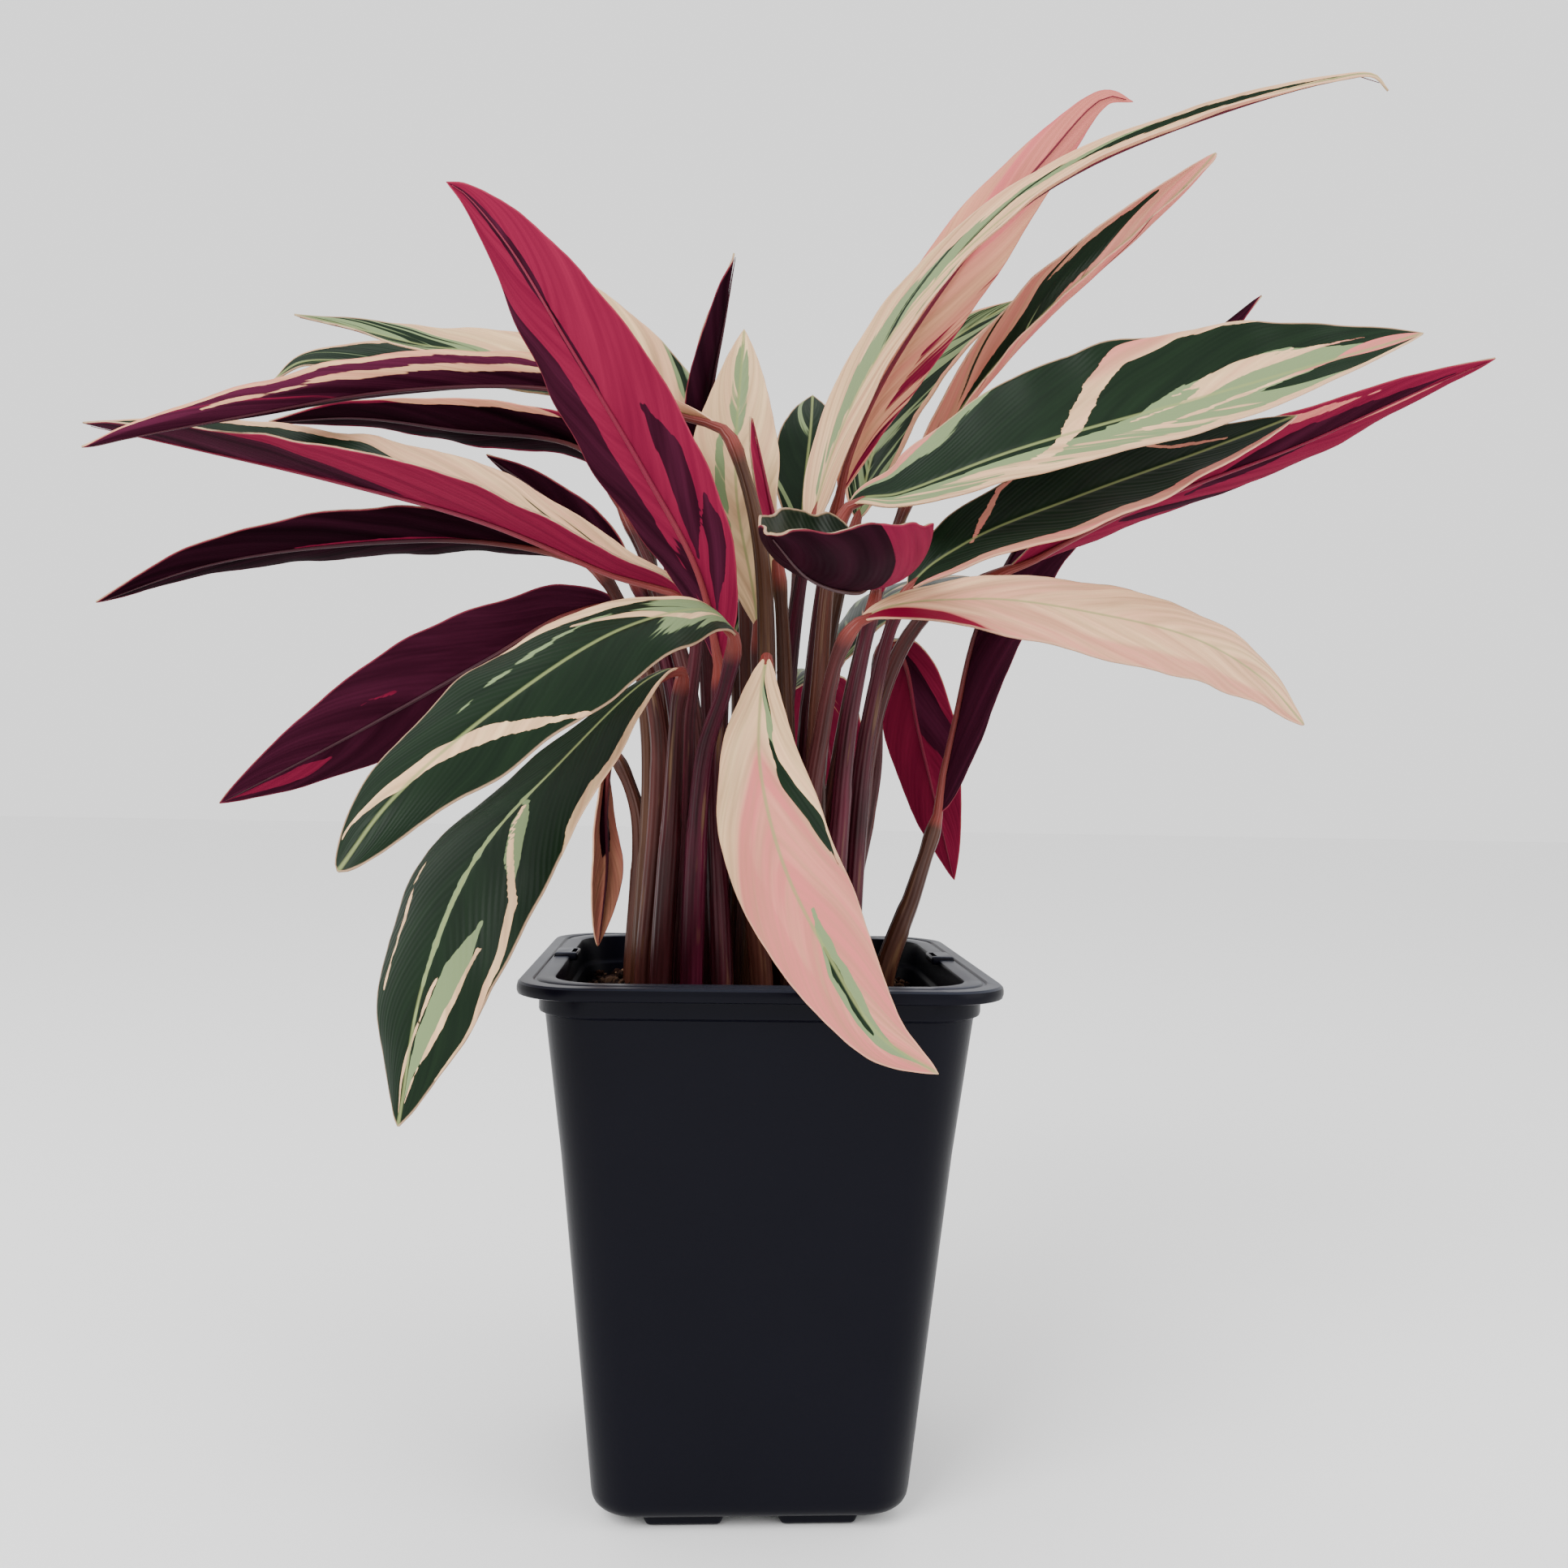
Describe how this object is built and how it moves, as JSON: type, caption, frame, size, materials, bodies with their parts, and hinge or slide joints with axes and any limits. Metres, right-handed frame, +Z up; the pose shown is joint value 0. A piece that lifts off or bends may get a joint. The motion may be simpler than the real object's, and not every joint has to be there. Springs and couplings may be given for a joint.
{
  "type": "potted prayer plant",
  "caption": "Bushy variegated stromanthe with long lance-shaped leaves, rooted in soil in a square black plastic nursery pot",
  "frame": {"origin": "on the floor under the middle of the pot, which is also the middle of the plant's width and depth", "axes": "+Z up; +X to the right and +Y to the rear as the plant is seen from its front; the pot's walls face +X, -X, +Y and -Y"},
  "size_m": [0.4927, 0.3365, 0.4831],
  "materials": {
    "pot_plastic": "satin black, faintly blue",
    "potting_soil": "coarse dark crumbs",
    "leaf_green": "satin, dark green with cream and pale green stripes",
    "leaf_cream": "satin, cream with green streaks",
    "leaf_pink": "satin, pink and cream with green flames",
    "leaf_magenta": "satin magenta underside",
    "leaf_burgundy": "satin dark burgundy underside"
  },
  "bodies": {
    "root": {"pot": "pot_plastic", "soil": "potting_soil", "tall_magenta_leaf": "leaf_magenta", "white_striped_leaf": "leaf_green", "big_dark_leaf": "leaf_green", "pink_front_leaf": "leaf_pink", "cupped_front_leaf": "leaf_green", "cream_right_leaf": "leaf_cream", "big_green_right_leaf": "leaf_green", "dark_green_right_leaf": "leaf_green", "magenta_right_leaf": "leaf_magenta", "dark_funnel_leaf": "leaf_burgundy", "cream_upright_leaf": "leaf_cream", "magenta_sliver_leaf": "leaf_magenta", "furled_spike_leaf": "leaf_burgundy", "cream_green_back_leaf": "leaf_cream", "long_rolled_left_leaf": "leaf_green", "folded_left_leaf": "leaf_green", "burgundy_left_leaf": "leaf_burgundy", "purple_low_left_leaf": "leaf_burgundy", "upper_twisted_left_leaf": "leaf_green", "green_hooked_left_leaf": "leaf_green", "narrow_dark_left_leaf": "leaf_burgundy", "dark_pink_edged_left_leaf": "leaf_burgundy", "small_hanging_leaf": "leaf_green", "long_thin_leaf": "leaf_cream", "peach_tall_leaf": "leaf_pink", "rolled_pink_green_leaf": "leaf_pink", "grey_green_back_leaf": "leaf_green", "dark_green_back_leaf": "leaf_green", "hanging_magenta_leaf": "leaf_magenta", "back_centre_leaf": "leaf_green", "back_left_leaf": "leaf_green", "back_right_leaf": "leaf_green", "back_magenta_leaf": "leaf_magenta", "back_tall_leaf": "leaf_green", "back_low_leaf": "leaf_green"}
  },
  "joints": []
}
